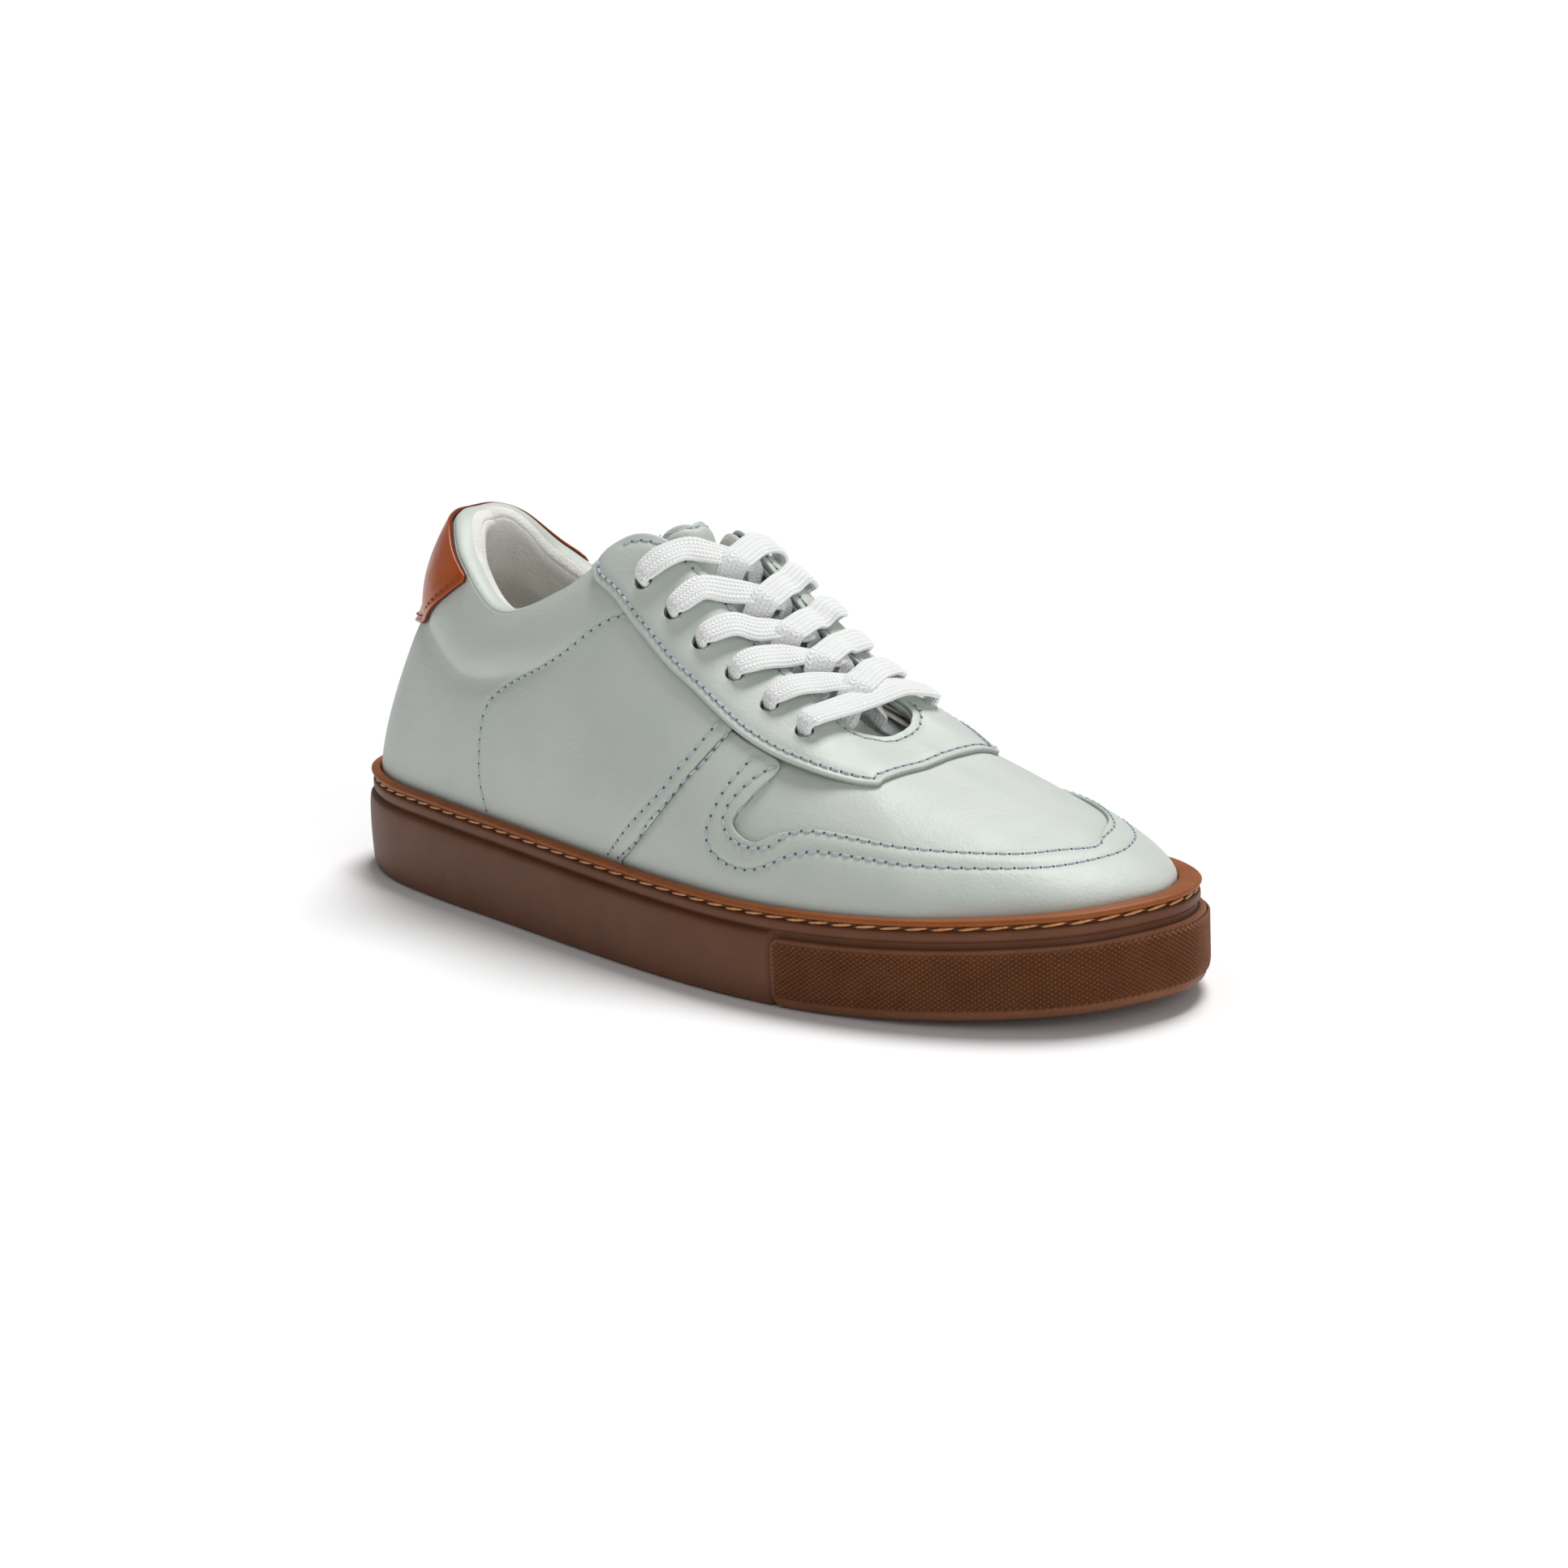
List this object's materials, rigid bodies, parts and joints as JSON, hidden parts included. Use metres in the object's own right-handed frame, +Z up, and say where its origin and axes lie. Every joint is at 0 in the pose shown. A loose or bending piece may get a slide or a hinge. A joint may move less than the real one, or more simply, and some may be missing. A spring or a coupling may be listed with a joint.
{
  "type": "low court shoe",
  "caption": "Low lace-up leather court shoe, right foot, with a stitched gum rubber cup sole, padded collar and tongue, and a flat lace.",
  "frame": {"origin": "on the ground under the middle of the sole's length, on the sole's centre line", "axes": "+X towards the toe, +Y towards the inner (medial) side, +Z up"},
  "size_m": [0.2999, 0.1063, 0.11],
  "materials": {
    "quarter_lateral": "smooth full-grain leather, off-white",
    "quarter_medial": "smooth full-grain leather, off-white",
    "forefoot_overlay": "smooth full-grain leather, off-white",
    "vamp": "smooth leather, off-white",
    "eyestay": "smooth leather, off-white",
    "heel_tab": "glossy tan leather",
    "tongue": "smooth leather, off-white",
    "tongue_foam": "open-cell foam",
    "tongue_lining": "knitted textile, warm white",
    "quarter_lining": "knitted textile, warm white",
    "vamp_lining": "knitted textile, warm white",
    "collar_padding": "open-cell foam",
    "heel_counter": "thermoplastic fibre board",
    "toe_puff": "thermoplastic fibre board",
    "eyestay_reinforcement_lateral": "non-woven tape",
    "eyestay_reinforcement_medial": "non-woven tape",
    "cupsole": "satin gum rubber",
    "toe_bumper": "knurled gum rubber",
    "sidewall_thread": "waxed polyester thread",
    "midsole_foam": "closed-cell foam",
    "strobel_board": "non-woven board",
    "footbed": "foam with a textile face",
    "lace": "flat woven cotton, white",
    "aglet_lateral": "clear acetate",
    "aglet_medial": "clear acetate"
  },
  "bodies": {
    "shoe_body": {"quarter_lateral": "quarter_lateral", "quarter_medial": "quarter_medial", "forefoot_overlay": "forefoot_overlay", "vamp": "vamp", "eyestay": "eyestay", "heel_tab": "heel_tab", "quarter_lining": "quarter_lining", "vamp_lining": "vamp_lining", "collar_padding": "collar_padding", "heel_counter": "heel_counter", "toe_puff": "toe_puff", "eyestay_reinforcement_lateral": "eyestay_reinforcement_lateral", "eyestay_reinforcement_medial": "eyestay_reinforcement_medial", "cupsole": "cupsole", "toe_bumper": "toe_bumper", "sidewall_thread": "sidewall_thread", "midsole_foam": "midsole_foam", "strobel_board": "strobel_board", "footbed": "footbed", "lace": "lace", "aglet_lateral": "aglet_lateral", "aglet_medial": "aglet_medial"},
    "tongue_body": {"tongue": "tongue", "tongue_foam": "tongue_foam", "tongue_lining": "tongue_lining"}
  },
  "joints": [
    {"name": "tongue_hinge", "type": "hinge", "parent": "shoe_body", "child": "tongue_body", "pos_m": [0.068, 0, 0.0483], "axis": [0, 1, 0], "range_deg": [-12, 0]}
  ]
}
